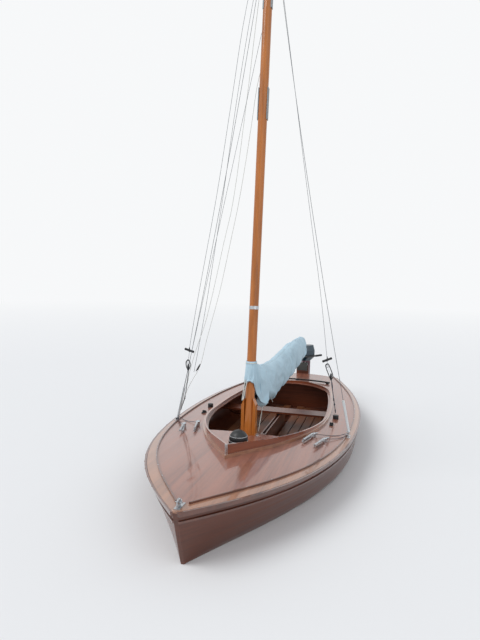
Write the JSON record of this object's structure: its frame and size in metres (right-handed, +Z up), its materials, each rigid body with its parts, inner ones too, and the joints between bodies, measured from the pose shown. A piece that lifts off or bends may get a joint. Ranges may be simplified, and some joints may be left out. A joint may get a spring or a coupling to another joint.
{
  "type": "sailing dinghy",
  "caption": "Varnished wooden sailing dinghy afloat: decked hull with vee breakwater, stayed mast, boom under a sail cover and an outboard motor.",
  "frame": {"origin": "on the waterline, on the centreplane, 3.05 m aft of the bow tip", "axes": "+X towards the bow, +Y to port, +Z up, along the mast's height"},
  "size_m": [6.0663, 2.1646, 7.7455],
  "materials": {
    "varnished_mahogany": "gloss varnish",
    "dark_mahogany": "gloss varnish",
    "light_margin": "gloss varnish",
    "varnished_spruce": "gloss varnish",
    "oiled_boards": "satin",
    "stainless": "polished",
    "grey_alloy": "satin",
    "black_plastic": "matt",
    "white_plastic": "gloss",
    "cover_cloth": "woven",
    "motor_teal": "gloss paint",
    "motor_maroon": "satin paint",
    "motor_grey": "satin paint"
  },
  "bodies": {
    "hull_and_rig": {"hull": "varnished_mahogany", "transom": "varnished_mahogany", "keel": "dark_mahogany", "rub_rails": "varnished_mahogany", "side_strakes": "dark_mahogany", "deck": "varnished_mahogany", "covering_boards": "light_margin", "toe_rails": "dark_mahogany", "breakwater": "varnished_mahogany", "coaming": "varnished_mahogany", "coaming_moulding": "light_margin", "ribs": "varnished_mahogany", "mast_frame": "varnished_mahogany", "aft_bulkhead": "varnished_mahogany", "floorboards": "oiled_boards", "centreboard_case": "varnished_mahogany", "centreboard_pin": "stainless", "thwart": "varnished_mahogany", "thwart_risers": "varnished_mahogany", "mast": "varnished_spruce", "mast_cheeks": "varnished_mahogany", "mast_plates": "grey_alloy", "mast_fittings": "stainless", "gooseneck": "stainless", "cover_collar": "cover_cloth", "shrouds": "stainless", "shroud_tubes": "white_plastic", "chainplates": "stainless", "forestay": "stainless", "bow_fitting": "stainless", "compass": "black_plastic", "traveller": "black_plastic", "stay_levers": "stainless", "deck_blocks": "black_plastic", "motor_pad": "dark_mahogany", "motor_clamp": "motor_grey"},
    "boom": {"boom": "varnished_spruce", "boom_end_fitting": "stainless", "sail_cover": "cover_cloth"},
    "centreboard": {"centreboard": "dark_mahogany"},
    "swivel": {"swivel_bracket": "motor_grey"},
    "motor": {"motor_leg": "motor_maroon", "motor_cowl": "motor_teal", "motor_tiller": "black_plastic"},
    "propeller": {"propeller": "grey_alloy"}
  },
  "joints": [
    {"name": "boom_swing", "type": "hinge", "parent": "hull_and_rig", "child": "boom", "pos_m": [0.94618, 0, 0.86003], "axis": [-0.0877, 0, 0.9962], "range_deg": [-55, 55]},
    {"name": "centreboard_drop", "type": "hinge", "parent": "hull_and_rig", "child": "centreboard", "pos_m": [0.26, 0, -0.02], "axis": [0, -1, 0], "range_deg": [0, 62]},
    {"name": "motor_tilt", "type": "hinge", "parent": "hull_and_rig", "child": "swivel", "pos_m": [-2.743, -0.022, 0.554], "axis": [0, 1, 0], "range_deg": [0, 52]},
    {"name": "motor_steer", "type": "hinge", "parent": "swivel", "child": "motor", "pos_m": [-2.794, -0.022, 0.43], "axis": [0, 0, 1], "range_deg": [-3, 90]},
    {"name": "propeller_spin", "type": "hinge", "parent": "motor", "child": "propeller", "pos_m": [-2.92835, 0.11235, -0.12], "axis": [0.7071, -0.7071, 0], "continuous": true}
  ]
}
